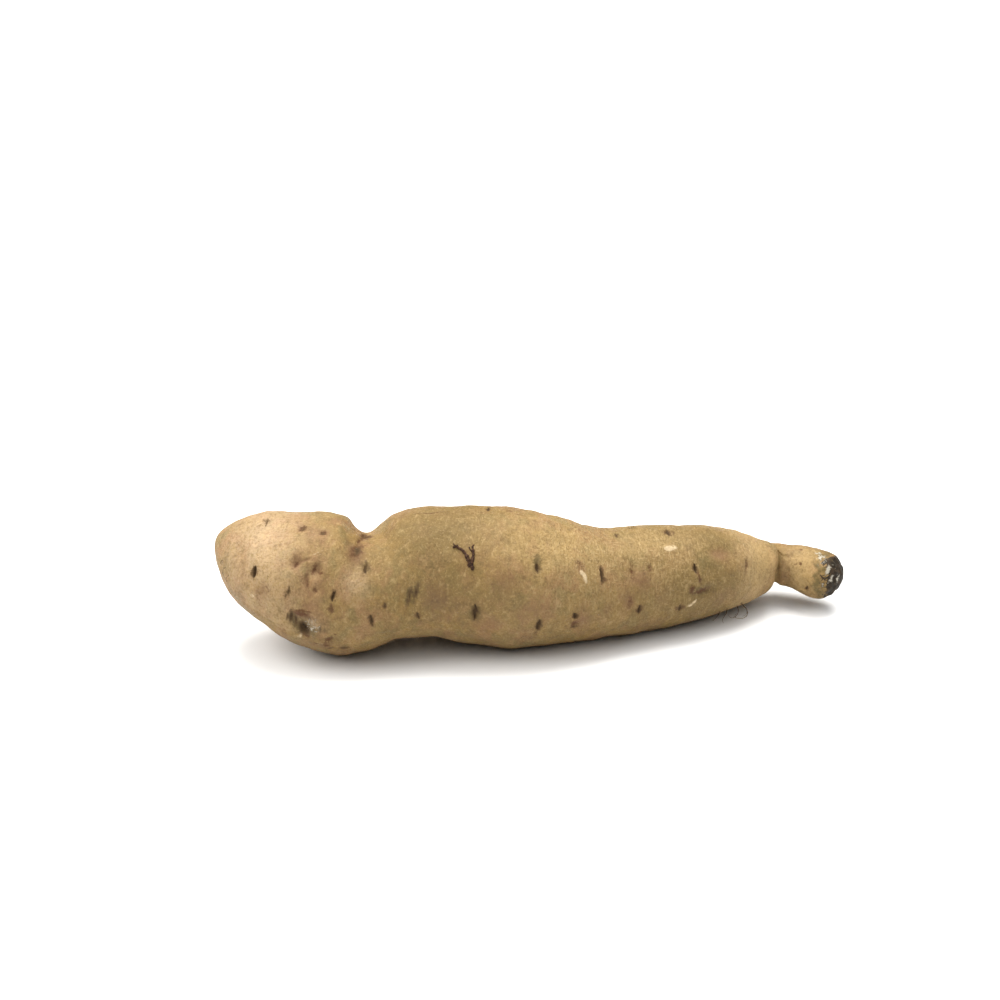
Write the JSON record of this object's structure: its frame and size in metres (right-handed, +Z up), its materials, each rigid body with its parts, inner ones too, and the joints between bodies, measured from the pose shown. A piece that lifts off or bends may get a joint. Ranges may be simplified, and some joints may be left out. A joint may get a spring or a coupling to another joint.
{
  "type": "sweet potato",
  "caption": "Whole raw tan-skinned sweet potato: a long lumpy storage root with a fat bent lobe at one end, a folded waist and a small knob where the tail snapped off.",
  "frame": {"origin": "on the table, under the centre of the root's bounding box", "axes": "+X along the root from the bent lobe at the crown to the snapped knob at the tail, -Y towards the bowed front side, +Z up from the table"},
  "size_m": [0.2482, 0.059, 0.0536],
  "materials": {
    "skin": "thin dry tan skin, matt with a faint waxy sheen, fine stringy texture, pinkish and grey-green bruises, dark eye slits"
  },
  "bodies": {
    "root": {"storage_root": "skin"}
  },
  "joints": []
}
